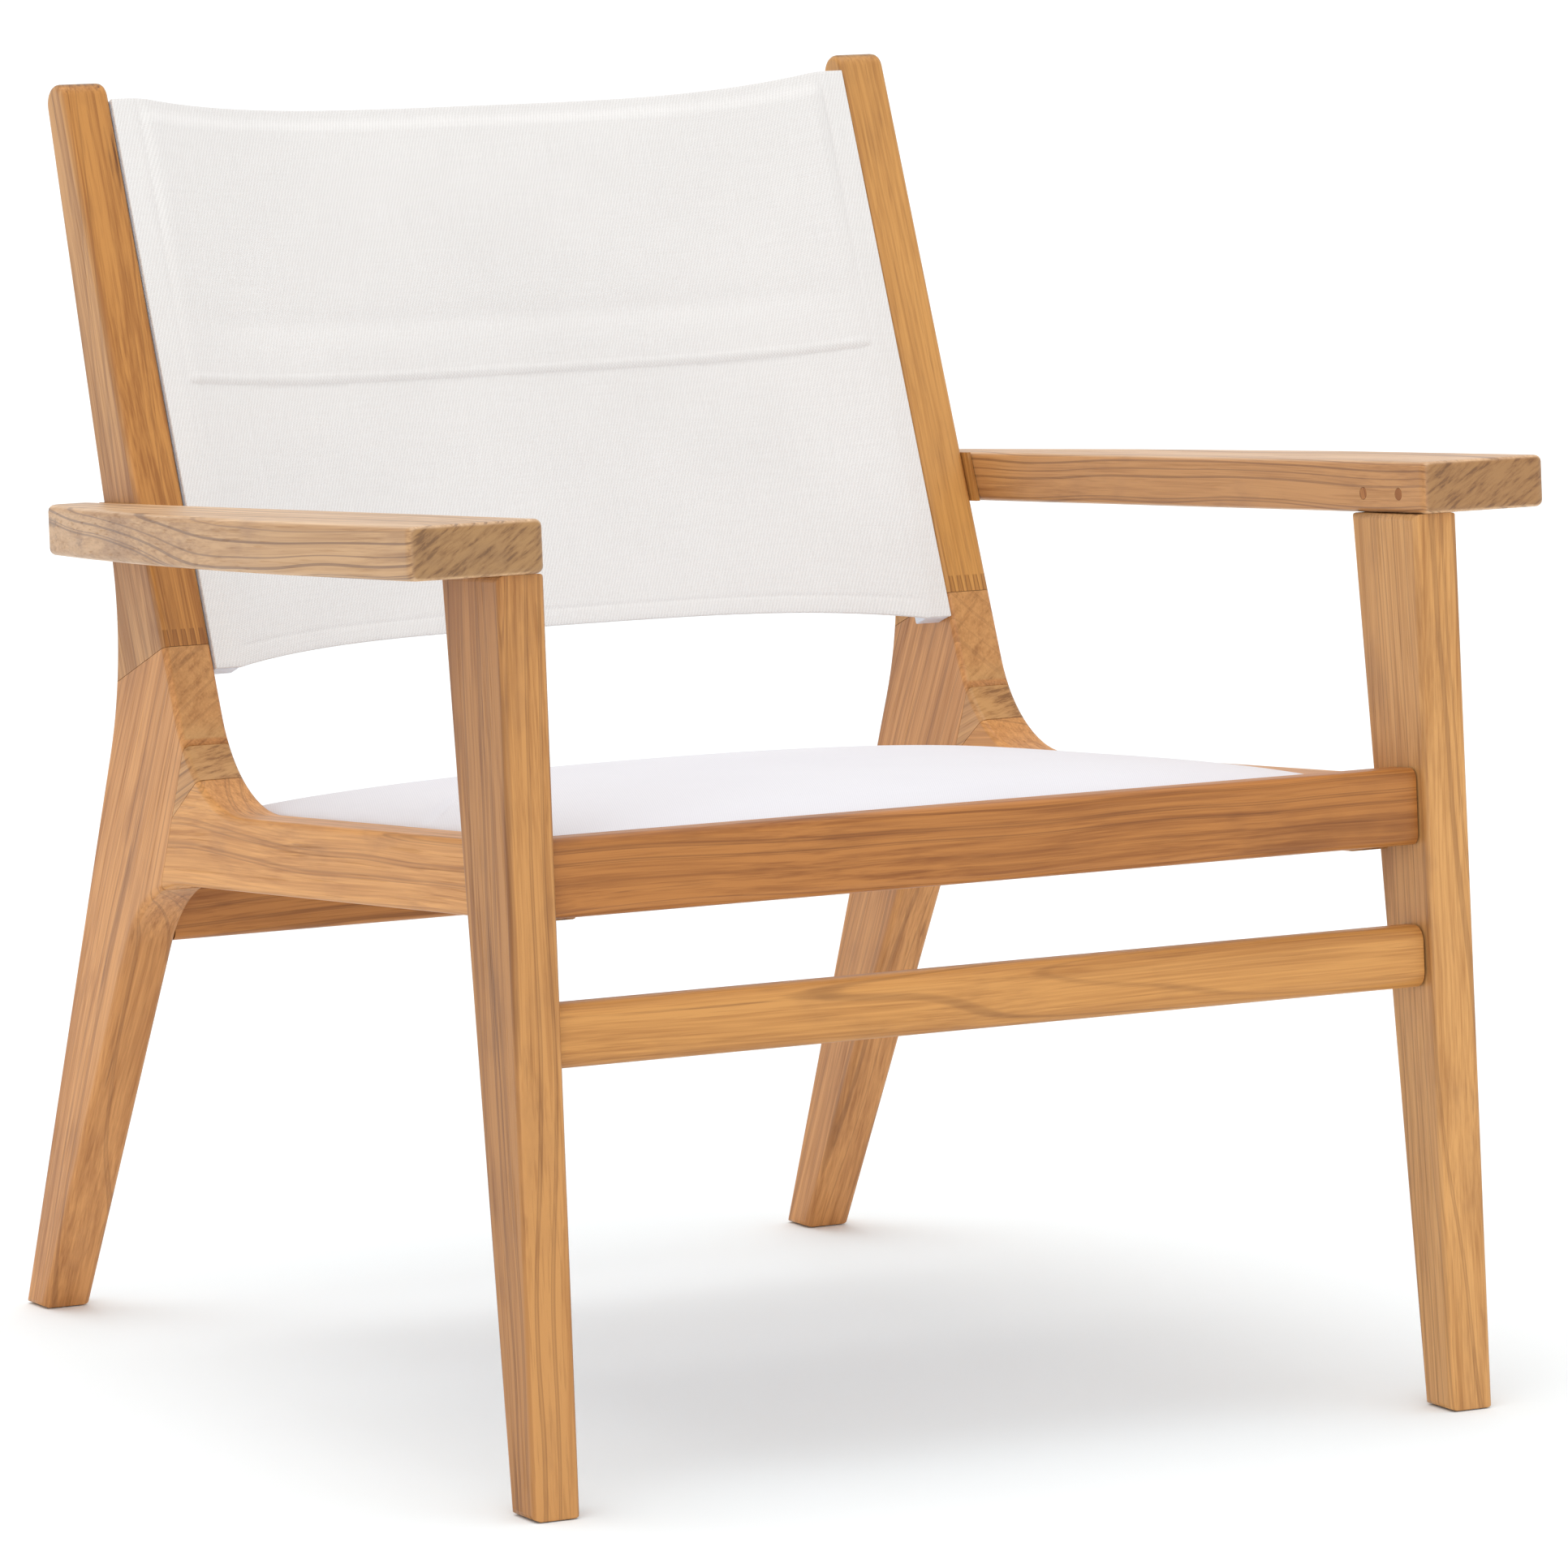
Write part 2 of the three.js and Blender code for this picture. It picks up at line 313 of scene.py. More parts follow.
def new_group(name: str, inputs: dict[str, object],
              outputs: dict[str, str]) -> tuple[Graph, Node, Node]:
    """Starts a shader node group.

    Args:
        name: the group's name.
        inputs: each input's name with its default: a number, three numbers or a colour.
        outputs: each output's name with its socket type, without "NodeSocket".

    Returns:
        The group's graph, and its input and output nodes.
    """
    tree = bpy.data.node_groups.new(name, "ShaderNodeTree")
    for title, value in inputs.items():
        kind = "Float"
        if isinstance(value, tuple):
            kind = "Vector" if len(value) == 3 else "Color"
        socket = tree.interface.new_socket(title, in_out="INPUT", socket_type="NodeSocket" + kind)
        socket.default_value = value
    for title, kind in outputs.items():
        tree.interface.new_socket(title, in_out="OUTPUT", socket_type="NodeSocket" + kind)
    return Graph(tree), tree.nodes.new("NodeGroupInput"), tree.nodes.new("NodeGroupOutput")


class Effects:
    """The shader node groups that the finishes share, each built once."""

    def __init__(self) -> None:
        """Builds the groups."""
        self.teak = self._teak()
        self.weave = self._weave()
        self.fingers = self._fingers()

    def _teak(self) -> bpy.types.NodeTree:
        """Builds sawn and oiled teak: bands, growth lines, streaks, pores and end grain.

        Returns:
            The group. Its vector runs along the grain in X, in metres.
        """
        graph, given, made = new_group(
            "Teak grain",
            {"Vector": (0.0, 0.0, 0.0), "Light": (0.6, 0.32, 0.13, 1.0),
             "Dark": (0.36, 0.16, 0.06, 1.0), "Line": (0.16, 0.07, 0.03, 1.0),
             "Streak": 0.5, "Lines": 0.5, "Ring": 150.0, "Figure": 0.5, "End": 0.0},
            {"Color": "Color", "Roughness": "Float", "Height": "Float"})
        place, streak = given.outputs["Vector"], given.outputs["Streak"]
        light, dark, deep = (given.outputs[title] for title in ("Light", "Dark", "Line"))
        warped = self._warped(graph, place, given.outputs["Figure"])

        bands = graph.noise(warped, (0.7, 30.0, 30.0), 3.0, 0.5)
        streaks = graph.noise(warped, (2.2, 230.0, 230.0), 4.0, 0.65)
        fibres = graph.noise(warped, (9.0, 720.0, 720.0), 2.0, 0.6)
        minerals = graph.noise(warped, (1.7, 95.0, 95.0), 5.0, 0.7)
        clouds = graph.noise(place, (4.0, 14.0, 14.0), 2.0, 0.5)
        smudges = graph.noise(place, (11.0, 30.0, 30.0), 4.0, 0.6)
        late, line = self._growth(graph, warped, given.outputs["Ring"])
        pore, crack = self._pores(graph, place)

        tone = graph.vary(clouds, 0.8, graph.vary(bands, 1.7, 0.34))
        tone = graph.math("MULTIPLY_ADD", late, 0.13, tone)
        strong = graph.math("MULTIPLY", graph.math("SUBTRACT", streaks, 0.5), 4.6)
        tone = graph.vary(fibres, 1.5, graph.math("MULTIPLY_ADD", strong, streak, tone), clamp=True)
        body = graph.blend(tone, light, dark)
        ringed = graph.blend(graph.math("MULTIPLY", line, given.outputs["Lines"], clamp=True),
                             body, deep)
        vein = graph.math("MULTIPLY", graph.span(minerals, 0.60, 0.70), streak)
        veined = graph.blend(graph.math("MULTIPLY", vein, 1.2, clamp=True), ringed, deep)
        long_grain = graph.blend(graph.math("MULTIPLY", pore, 0.2), veined, deep)

        cut = graph.blend(graph.math("MULTIPLY_ADD", crack, 0.75, 0.22, clamp=True), light, dark)
        cut = graph.blend(graph.math("MULTIPLY", graph.span(crack, 0.72, 1.0), 0.45), cut, deep)
        wood = graph.blend(given.outputs["End"], long_grain, cut)
        patina = graph.math("MULTIPLY", graph.span(smudges, 0.50, 0.72), 0.75)
        rough = graph.math("MULTIPLY_ADD", streaks, 0.16, 0.33)
        relief = graph.math("MULTIPLY_ADD", fibres, 0.4, graph.math("MULTIPLY", streaks, 0.5))
        graph.feed(made.inputs["Color"],
                   graph.blend(patina, wood, (0.78, 0.76, 0.80, 1.0), "MULTIPLY"))
        graph.feed(made.inputs["Roughness"], graph.math("MULTIPLY_ADD", pore, 0.15, rough))
        graph.feed(made.inputs["Height"],
                   graph.math("SUBTRACT", relief, graph.math("MULTIPLY", pore, 0.8)))
        return graph.tree

    @staticmethod
    def _warped(graph: Graph, place: object, figure: object) -> Socket:
        """Bends the straight grain into the waves of real timber.

        Args:
            graph: the group's graph.
            place: the straight place in the log.
            figure: how wavy the grain is.

        Returns:
            The bent place.
        """
        drift = graph.noise(place, (2.2, 7.0, 7.0), 2.0, 0.5, output="Color")
        swing = graph.vector("SUBTRACT", drift, (0.5, 0.5, 0.5))
        swing = graph.vector("MULTIPLY", swing, (0.0, 0.055, 0.055))
        return graph.vector("ADD", place, graph.vector("MULTIPLY", swing, figure))

    @staticmethod
    def _growth(graph: Graph, warped: object,
                ring: object) -> tuple[Socket, Socket]:
        """Draws growth bands and lines of uneven spacing round the log's heart.

        Args:
            graph: the group's graph.
            warped: the bent place in the log.
            ring: how many bands there are to a metre.

        Returns:
            The dark bands and the thin lines, each 0 to 1.
        """
        reach = graph.add("VectorMath", operation="LENGTH")
        graph.feed(reach.inputs[0], graph.vector("MULTIPLY", warped, (0.09, 1.0, 1.0)))
        count = graph.math("MULTIPLY", reach.outputs["Value"], ring)
        late = graph.span(graph.noise_line(count, 2.0), 0.46, 0.66)
        finer = graph.noise_line(graph.math("MULTIPLY_ADD", count, 2.1, 9.0), 1.0)
        line = graph.math("MULTIPLY", graph.span(finer, 0.60, 0.68),
                          graph.math("SUBTRACT", 1.0, graph.span(finer, 0.70, 0.80)))
        return late, line

    @staticmethod
    def _pores(graph: Graph, place: object) -> tuple[Socket, Socket]:
        """Draws the pores along the grain and the crackle across the sawn ends.

        Args:
            graph: the group's graph.
            place: the straight place in the log.

        Returns:
            The pores and the crackle, each 0 to 1.
        """
        dashes = graph.noise(place, (16.0, 620.0, 620.0), 2.0, 0.5)
        slanted = graph.turned(place, (math.radians(38.0), 0.0, 0.0))
        arcs = graph.noise(slanted, (1.0, 60.0, 330.0), 4.0, 0.65)
        return graph.span(dashes, 0.58, 0.70), graph.span(arcs, 0.40, 0.66)

    def _weave(self) -> bpy.types.NodeTree:
        """Builds a fine woven cloth from its threads.

        Returns:
            The group. Its vector is the cloth's own plane, in metres.
        """
        graph, given, made = new_group(
            "Woven cloth",
            {"Vector": (0.0, 0.0, 0.0), "Thread": (0.8, 0.8, 0.8, 1.0), "Gap": (0.6, 0.6, 0.6, 1.0),
             "Warp": 0.0012, "Weft": 0.0012, "Twill": 0.0, "Slub": 0.4},
            {"Color": "Color", "Roughness": "Float", "Height": "Float"})
        place = given.outputs["Vector"]
        across, along, _ = graph.split(place)
        lean = graph.math("MULTIPLY", along, given.outputs["Twill"])
        turns = graph.math("MULTIPLY", graph.math("ADD", across, lean), math.tau)
        warp = graph.math("DIVIDE", turns, given.outputs["Warp"])
        turns = graph.math("MULTIPLY", along, math.tau)
        weft = graph.math("DIVIDE", turns, given.outputs["Weft"])
        product = graph.math("MULTIPLY", graph.math("SINE", warp), graph.math("SINE", weft))
        threads = graph.math("MULTIPLY_ADD", product, 0.5, 0.5)
        slub_along = graph.noise(place, (1100.0, 30.0, 30.0), 2.0, 0.6)
        slub_across = graph.noise(place, (30.0, 1100.0, 30.0), 2.0, 0.6)
        slub = graph.math("MULTIPLY", graph.math("ADD", slub_along, slub_across), 0.5)
        clouds = graph.noise(place, (7.0, 7.0, 7.0), 2.0, 0.5)
        share = graph.math("MULTIPLY", graph.math("SUBTRACT", 1.0, threads), 0.45)
        share = graph.vary(slub, given.outputs["Slub"], share)
        share = graph.vary(clouds, 0.25, share, clamp=True)
        graph.feed(made.inputs["Color"],
                   graph.blend(share, given.outputs["Thread"], given.outputs["Gap"]))
        graph.feed(made.inputs["Roughness"], graph.math("MULTIPLY_ADD", share, 0.12, 0.80))
        graph.feed(made.inputs["Height"], graph.math("MULTIPLY_ADD", slub, 0.6, threads))
        return graph.tree

    def _fingers(self) -> bpy.types.NodeTree:
        """Builds the glued fingers that join a post's timber to the block below it.

        Returns:
            The group. Its vector is the place in the chair's frame, in metres.
        """
        graph, given, made = new_group(
            "Finger joint",
            {"Vector": (0.0, 0.0, 0.0), "Normal": (0.0, 0.0, 1.0), "Low": 0.4225, "Tall": 0.0135,
             "Pitch": 0.0058},
            {"Finger": "Float", "Glue": "Float"})
        across, _, up = graph.split(given.outputs["Vector"])
        front = graph.span(graph.split(given.outputs["Normal"])[1], -0.5, -0.8)
        above = graph.math("SUBTRACT", up, given.outputs["Low"])
        height = graph.math("DIVIDE", above, given.outputs["Tall"])
        within = graph.math("MULTIPLY", graph.span(height, 0.0, 0.06),
                            graph.math("SUBTRACT", 1.0, graph.span(height, 0.94, 1.0)))
        within = graph.math("MULTIPLY", within, front)
        turn = graph.math("FRACT", graph.math("DIVIDE", across, given.outputs["Pitch"]))
        off = graph.math("ABSOLUTE", graph.math("SUBTRACT", turn, 0.5))
        slim = graph.math("MULTIPLY_ADD", height, -0.10, 0.30)
        finger = graph.math("LESS_THAN", off, slim)
        edge = graph.math("ABSOLUTE", graph.math("SUBTRACT", off, slim))
        glue = graph.math("SUBTRACT", 1.0, graph.span(edge, 0.03, 0.09))
        graph.feed(made.inputs["Finger"], graph.math("MULTIPLY", finger, within))
        glue = graph.math("MULTIPLY", graph.math("MULTIPLY", glue, within), 0.7)
        graph.feed(made.inputs["Glue"], glue)
        return graph.tree


# ---- finishes


def start_material(name: str) -> tuple[Graph, Node]:
    """Makes an empty material with a Principled surface.

    Args:
        name: the material's name.

    Returns:
        The material's graph and its Principled node.
    """
    material = bpy.data.materials.new(name)
    material.use_nodes = True
    return Graph(material.node_tree), material.node_tree.nodes["Principled BSDF"]


@dataclass(frozen=True)
class Teak:
    """Oiled teak, with its own tone and figure for one timber."""

    tone: Triple = (0.60, 0.31, 0.12)
    # painted light: a tint for the faces that look sideways along X, standing in for the sheen and
    # shade those faces catch
    flank: Triple = (1.0, 1.0, 1.0)
    end: Triple = (0.70, 0.74, 0.80)
    streak: float = 0.40
    lines: float = 0.55
    ring: float = 150.0
    figure: float = 0.5
    gloss: float = 0.4
    joint: bool = False

    def shade(self, factors: Triple) -> tuple[float, float, float, float]:
        """The timber's tone, lightened or darkened."""
        return (*(part * factor for part, factor in zip(self.tone, factors)), 1.0)

    def material(self, effects: Effects, name: str, grain: Grain,
                 offset: Triple) -> bpy.types.Material:
        """Makes this teak's material for one piece.

        Args:
            effects: the shared node groups.
            name: the material's name.
            grain: the direction the grain runs in.
            offset: where in the log the piece was sawn, in metres.

        Returns:
            The material.
        """
        graph, surface = start_material(name)
        spot = graph.add("TexCoord")
        spin = grain.direction.rotation_difference(Vector((1.0, 0.0, 0.0))).to_euler("XYZ")
        place = graph.turned(spot.outputs["Object"], tuple(spin), offset)
        facing = graph.add("VectorMath", operation="DOT_PRODUCT")
        graph.feed(facing.inputs[0], spot.outputs["Normal"])
        facing.inputs[1].default_value = grain.direction
        across = graph.math("ABSOLUTE", facing.outputs["Value"])
        sawn_end = graph.span(across, 0.55, 0.90)
        wood = graph.add_group(effects.teak, {
            "Vector": place, "Light": self.shade((1.16, 1.20, 1.26)),
            "Dark": self.shade((0.72, 0.64, 0.56)), "Line": self.shade((0.36, 0.30, 0.30)),
            "Streak": self.streak, "Lines": self.lines, "Ring": self.ring,
            "Figure": self.figure, "End": sawn_end})
        # Painted light: faces that look sideways along X get their own tint, a painted sheen and
        # shade in place of how the light falls on the side faces against the front and top faces.
        sideways = graph.math("ABSOLUTE", graph.split(spot.outputs["Normal"])[0])
        side = graph.span(sideways, 0.45, 0.85)
        side_light_painted = graph.blend(side, wood.outputs["Color"], (*self.flank, 1.0), "MULTIPLY")
        colour = graph.blend(sawn_end, side_light_painted, (*self.end, 1.0), "MULTIPLY")
        if self.joint:
            colour = self.jointed(effects, graph, spot, colour)
        graph.dress(surface, wood, strength=0.22, distance=0.0004, colour=colour)
        surface.inputs["Specular IOR Level"].default_value = self.gloss
        return bpy.data.materials[name]

    def jointed(self, effects: Effects, graph: Graph, spot: Node,
                colour: Socket) -> Socket:
        """Shows the glued fingers on a post's front face.

        Args:
            effects: the shared node groups.
            graph: the material's graph.
            spot: the material's coordinates.
            colour: the timber's colour.

        Returns:
            The colour with the fingers.
        """
        fingers = graph.add_group(effects.fingers, {
            "Vector": spot.outputs["Object"], "Normal": spot.outputs["Normal"]})
        toned = graph.blend(fingers.outputs["Finger"], colour, (0.80, 0.76, 0.74, 1.0), "MULTIPLY")
        return graph.blend(fingers.outputs["Glue"], toned, self.shade((0.42, 0.36, 0.34)))


@dataclass(frozen=True)
class Cloth:
    """White woven outdoor cloth."""

    thread: Triple
    gap: Triple
    warp: float
    weft: float
    twill: float
    slub: float
    bump: float

    def material(self, effects: Effects, name: str) -> bpy.types.Material:
        """Makes the cloth's material, which reads the piece's own UV map in metres.

        Args:
            effects: the shared node groups.
            name: the material's name.

        Returns:
            The material.
        """
        graph, surface = start_material(name)
        plane = graph.add("UVMap", uv_map="Cloth")
        weave = graph.add_group(effects.weave, {
            "Vector": plane.outputs[0], "Thread": (*self.thread, 1.0), "Gap": (*self.gap, 1.0),
            "Warp": self.warp, "Weft": self.weft, "Twill": self.twill, "Slub": self.slub})
        graph.dress(surface, weave, strength=self.bump, distance=0.0003)
        for title, value in (("Specular IOR Level", 0.2), ("Sheen Weight", 0.15),
                             ("Sheen Roughness", 0.5)):
            surface.inputs[title].default_value = value
        return bpy.data.materials[name]


@dataclass(frozen=True)
class Satin:
    """Satin white plastic, as on the sling tracks."""

    colour: Triple = (0.74, 0.78, 0.86)

    def material(self, name: str) -> bpy.types.Material:
        """Makes the plastic's material.

        Args:
            name: the material's name.

        Returns:
            The material.
        """
        graph, surface = start_material(name)
        spot = graph.add("TexCoord")
        mottle = graph.noise(spot.outputs["Object"], (60.0, 60.0, 60.0), 3.0, 0.5)
        deep = tuple(0.9 * part for part in self.colour)
        graph.feed(surface.inputs["Base Color"],
                   graph.blend(mottle, (*self.colour, 1.0), (*deep, 1.0)))
        graph.feed(surface.inputs["Roughness"], graph.math("MULTIPLY_ADD", mottle, 0.15, 0.32))
        grit = graph.noise(spot.outputs["Object"], (900.0, 900.0, 900.0), 2.0, 0.5)
        bump = graph.add("Bump")
        bump.inputs["Strength"].default_value = 0.1
        bump.inputs["Distance"].default_value = 0.0002
        graph.feed(bump.inputs["Height"], grit)
        graph.feed(surface.inputs["Normal"], bump.outputs[0])
        return bpy.data.materials[name]


# ---- modelling helpers


def only(obj: Piece) -> None:
    """Leaves one object selected and active."""
    bpy.ops.object.select_all(action="DESELECT")
    obj.select_set(True)
    bpy.context.view_layer.objects.active = obj


def apply(obj: Piece, modifier: bpy.types.Modifier) -> None:
    """Applies an object's modifier."""
    only(obj)
    bpy.ops.object.modifier_apply(modifier=modifier.name)


def ease_edges(obj: Piece, width: float, segments: int, degrees: float) -> None:
    """Rounds an object's sharp edges.

    Args:
        obj: the object.
        width: how wide the rounding is, in metres.
        segments: how many faces it is made of.
        degrees: the least turn that counts as sharp.
    """
    edge = obj.modifiers.new("Edges", "BEVEL")
    edge.width = width
    edge.segments = segments
    edge.limit_method = "ANGLE"
    edge.angle_limit = math.radians(degrees)
    apply(obj, edge)


def clamp(value: float, low: float = 0.0, high: float = 1.0) -> float:
    """The value, held between two others."""
    return max(low, min(high, value))


def finish_piece(obj: Piece, material: bpy.types.Material,
                 nodes: tuple[str, ...]) -> None:
    """Dresses a finished piece and hangs it on the frame.

    Args:
        obj: the piece.
        material: what it is made of.
        nodes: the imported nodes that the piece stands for.
    """
    obj.data.materials.clear()
    obj.data.materials.append(material)
    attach(obj, BODY)
    if nodes:
        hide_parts(*nodes)
    LOG.info("%s: %d faces", obj.name, len(obj.data.polygons))


def soften_shading(obj: Piece, degrees: float = 38.0) -> None:
    """Shades a timber smoothly round its edges, with its flats kept flat.

    Args:
        obj: the timber.
        degrees: the sharpest turn that is still shaded smoothly.
    """
    only(obj)
    bpy.ops.object.shade_smooth_by_angle(angle=math.radians(degrees))
    weighted = obj.modifiers.new("Flats", "WEIGHTED_NORMAL")
    weighted.keep_sharp = True
    weighted.weight = 80
    apply(obj, weighted)


def cleaned_copy(node: str, name: str) -> Piece:
    """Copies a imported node's mesh and welds it into whole faces.

    Args:
        node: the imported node.
        name: the new piece's name.

    Returns:
        The new piece.
    """
    obj = bpy.data.objects.new(name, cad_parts[node].data.copy())
    bpy.context.scene.collection.objects.link(obj)
    only(obj)
    bpy.ops.object.mode_set(mode="EDIT")
    bpy.ops.mesh.select_all(action="SELECT")
    bpy.ops.mesh.remove_doubles(threshold=WELD)
    bpy.ops.mesh.dissolve_limited(angle_limit=math.radians(FLAT))
    bpy.ops.object.mode_set(mode="OBJECT")
    return obj


# ---- the timbers


@dataclass
class Timber:
    """One piece of teak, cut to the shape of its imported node."""

    node: str
    grain: Grain
    finish: Teak
    offset: Triple
    foot_bevel: float = 0.0035

    def build(self, effects: Effects) -> Piece:
        """Models and dresses the timber.

        Args:
            effects: the shared node groups.

        Returns:
            The finished piece.
        """
        obj = cleaned_copy(self.node, self.node.title())
        self.ease_foot(obj)
        soften_shading(obj)
        material = self.finish.material(effects, obj.name + "_Teak", self.grain, self.offset)
        finish_piece(obj, material, (self.node,))
        return obj

    def ease_foot(self, obj: Piece) -> None:
        """Takes the sharp edge off a foot, where the timber stands on the floor.

        Args:
            obj: the timber.
        """
        mesh = obj.data
        only(obj)
        bpy.ops.object.mode_set(mode="EDIT")
        bpy.ops.mesh.select_mode(type="EDGE")
        bpy.ops.mesh.select_all(action="DESELECT")
        bpy.ops.object.mode_set(mode="OBJECT")
        on_floor = [vertex.co.z < ON_FLOOR for vertex in mesh.vertices]
        for edge in mesh.edges:
            edge.select = on_floor[edge.vertices[0]] and on_floor[edge.vertices[1]]
        if not any(edge.select for edge in mesh.edges):
            return
        bpy.ops.object.mode_set(mode="EDIT")
        bpy.ops.mesh.bevel(offset=self.foot_bevel, segments=3, affect="EDGES", clamp_overlap=True)
        bpy.ops.object.mode_set(mode="OBJECT")


@dataclass
class TeakFrame:
    """Every timber of the chair, with its grain and tone."""

    # Each timber's side tint is painted light: sheen and shade for its sideways faces.
    left_leg: Teak = Teak(tone=(0.515, 0.236, 0.068), flank=(0.76, 0.71, 0.66), streak=0.60,
                          lines=0.40)
    right_leg: Teak = Teak(tone=(0.595, 0.290, 0.090), flank=(0.90, 0.92, 1.0), streak=0.42,
                           lines=0.35)
    rear_leg: Teak = Teak(tone=(0.560, 0.250, 0.078), end=(0.98, 1.22, 1.48), streak=0.46,
                          lines=0.35)
    knee: Teak = Teak(tone=(0.545, 0.275, 0.100), figure=0.9, ring=120.0, end=(0.95, 1.0, 1.0))
    left_post: Teak = Teak(tone=(0.49, 0.210, 0.048), flank=(0.98, 1.12, 1.75), streak=0.85,
                           lines=0.30, joint=True)
    right_post: Teak = Teak(tone=(0.545, 0.258, 0.068), streak=0.26, lines=0.12, joint=True)
    side_rail: Teak = Teak(tone=(0.63, 0.290, 0.084), figure=0.8, ring=120.0, lines=0.40)
    left_arm: Teak = Teak(tone=(0.64, 0.41, 0.225), flank=(0.75, 0.64, 0.49),
                          end=(0.58, 0.48, 0.31), figure=0.9, ring=95.0, streak=0.40,
                          lines=0.75, gloss=0.6)
    right_arm: Teak = Teak(tone=(0.60, 0.36, 0.185), flank=(0.79, 0.61, 0.38),
                           end=(0.60, 0.49, 0.31), figure=0.8, ring=110.0, streak=0.38,
                           gloss=0.6)
    front_rail: Teak = Teak(tone=(0.412, 0.155, 0.033), streak=0.80, lines=0.45, figure=0.7)
    stretcher: Teak = Teak(tone=(0.555, 0.252, 0.066), figure=0.45, ring=110.0, streak=0.40,
                           lines=0.4)
    apart: tuple[float, float] = (0.37, 0.013)  # how far apart in the log a pair is sawn

    def build(self, effects: Effects) -> None:
        """Builds the paired timbers and then the cross rails.

        Args:
            effects: the shared node groups.
        """
        rear, knee, rail, post = self.rear_leg, self.knee, self.side_rail, self.right_post
        dark = self.front_rail
        for node, grain, left, right, offset in (
            ("front_leg", Grain.FRONT_LEG, self.left_leg, self.right_leg, (0.0, 0.02, 0.05)),
            ("rear_leg", Grain.REAR_LEG, rear, rear, (0.3, 0.11, -0.04)),
            ("knee_block", Grain.KNEE, knee, knee, (0.1, -0.05, 0.12)),
            ("back_post", Grain.POST, self.left_post, post, (0.7, 0.03, -0.1)),
            ("side_rail", Grain.SIDE_RAIL, rail, rail, (0.2, 0.2, 0.03)),
            ("arm", Grain.ARM, self.left_arm, self.right_arm, (0.9, 0.05, 0.31)),
            ("arm_spacer", Grain.POST, post, post, (0.4, 0.4, 0.0)),
            ("arm_plug_front", Grain.POST, dark, dark, (0.0, 0.2, 0.2)),
            ("arm_plug_rear", Grain.POST, dark, dark, (0.5, 0.1, 0.2)),
        ):
            for side, finish in ((Side.LEFT, left), (Side.RIGHT, right)):
                moved = (offset[0] + self.apart[0] * side.value,
                         offset[1] + self.apart[1] * side.value, offset[2])
                Timber(f"{node}_{side.tag}", grain, finish, moved).build(effects)
        for node, finish, offset in (
            ("front_rail", dark, (0.1, 0.3, 0.12)),
            ("front_stretcher", self.stretcher, (0.6, 0.1, -0.2)),
            ("rear_rail", dark, (0.9, 0.02, 0.2)),
        ):
            Timber(node, Grain.CROSS_RAIL, finish, offset).build(effects)


# ---- the back


def stops(length: float, coarse: float, fine: float, places: tuple[float, ...],
          reach: float) -> list[float]:
    """Divides a length into rows, closer together round some places.

    Args:
        length: the length to divide, in metres.
        coarse: the ordinary spacing.
        fine: the spacing round the places.
        places: where the rows are closer.
        reach: how far to each side of a place they are closer.

    Returns:
        The rows' places, from 0 to the length.
    """
    rows = [0.0]
    while rows[-1] < length - 1e-6:
        near = any(abs(rows[-1] - place) < reach for place in places)
        ahead = min((place - reach - rows[-1] for place in places
                     if place - reach > rows[-1] + 1e-6), default=coarse)
        rows.append(rows[-1] + (fine if near else max(fine, min(coarse, ahead))))
    rows[-1] = length
    return rows


@dataclass(frozen=True)
class Bead:
    """A soft line raised or sunk in the cloth, in metres."""

    place: float
    width: float
    height: float

    def lift(self, distance: float) -> float:
        """How high the line stands at a distance from where its place is measured."""
        away = (distance - self.place) / self.width
        return self.height * math.exp(-away * away)


